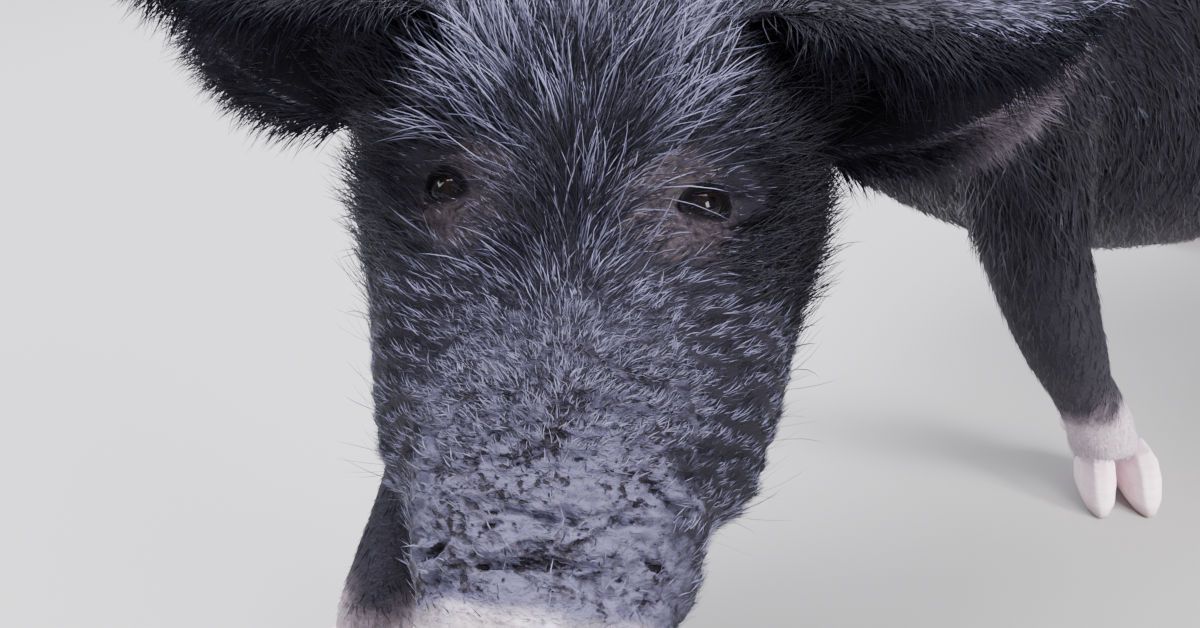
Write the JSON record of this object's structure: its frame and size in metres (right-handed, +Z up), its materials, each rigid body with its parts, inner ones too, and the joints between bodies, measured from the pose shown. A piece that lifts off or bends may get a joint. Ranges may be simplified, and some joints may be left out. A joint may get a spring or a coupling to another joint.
{
  "type": "pig",
  "caption": "Life-size still model of a black lop-eared pig with white feet, walking with its head low and turned to its left.",
  "frame": {"origin": "on the floor, under the middle of the whole model's box", "axes": "the pig faces -Y, +X is its left side and +Z is up; the floor is Z = 0"},
  "size_m": [0.4626, 1.3176, 0.6496],
  "materials": {
    "black_hide": "black bristled hide with a blue-grey sheen",
    "white_sock": "short white hair over pink skin",
    "snout_skin": "bare grey-pink skin, slightly damp",
    "hoof_horn": "pale pinkish horn, worn dull",
    "eye": "wet dark eye"
  },
  "bodies": {
    "root": {"head": "black_hide", "jaw": "black_hide", "neck": "black_hide", "trunk": "black_hide", "tail": "black_hide", "left_ear": "black_hide", "right_ear": "black_hide", "snout": "snout_skin", "left_eye": "eye", "right_eye": "eye", "fore_left_leg": "black_hide", "fore_left_foot": "white_sock", "fore_left_outer_claw": "hoof_horn", "fore_left_outer_dewclaw": "hoof_horn", "fore_left_inner_claw": "hoof_horn", "fore_left_inner_dewclaw": "hoof_horn", "fore_right_leg": "black_hide", "fore_right_foot": "white_sock", "fore_right_outer_claw": "hoof_horn", "fore_right_outer_dewclaw": "hoof_horn", "fore_right_inner_claw": "hoof_horn", "fore_right_inner_dewclaw": "hoof_horn", "hind_left_leg": "black_hide", "hind_left_foot": "white_sock", "hind_left_outer_claw": "hoof_horn", "hind_left_outer_dewclaw": "hoof_horn", "hind_left_inner_claw": "hoof_horn", "hind_left_inner_dewclaw": "hoof_horn", "hind_right_leg": "black_hide", "hind_right_foot": "white_sock", "hind_right_outer_claw": "hoof_horn", "hind_right_outer_dewclaw": "hoof_horn", "hind_right_inner_claw": "hoof_horn", "hind_right_inner_dewclaw": "hoof_horn"}
  },
  "joints": []
}
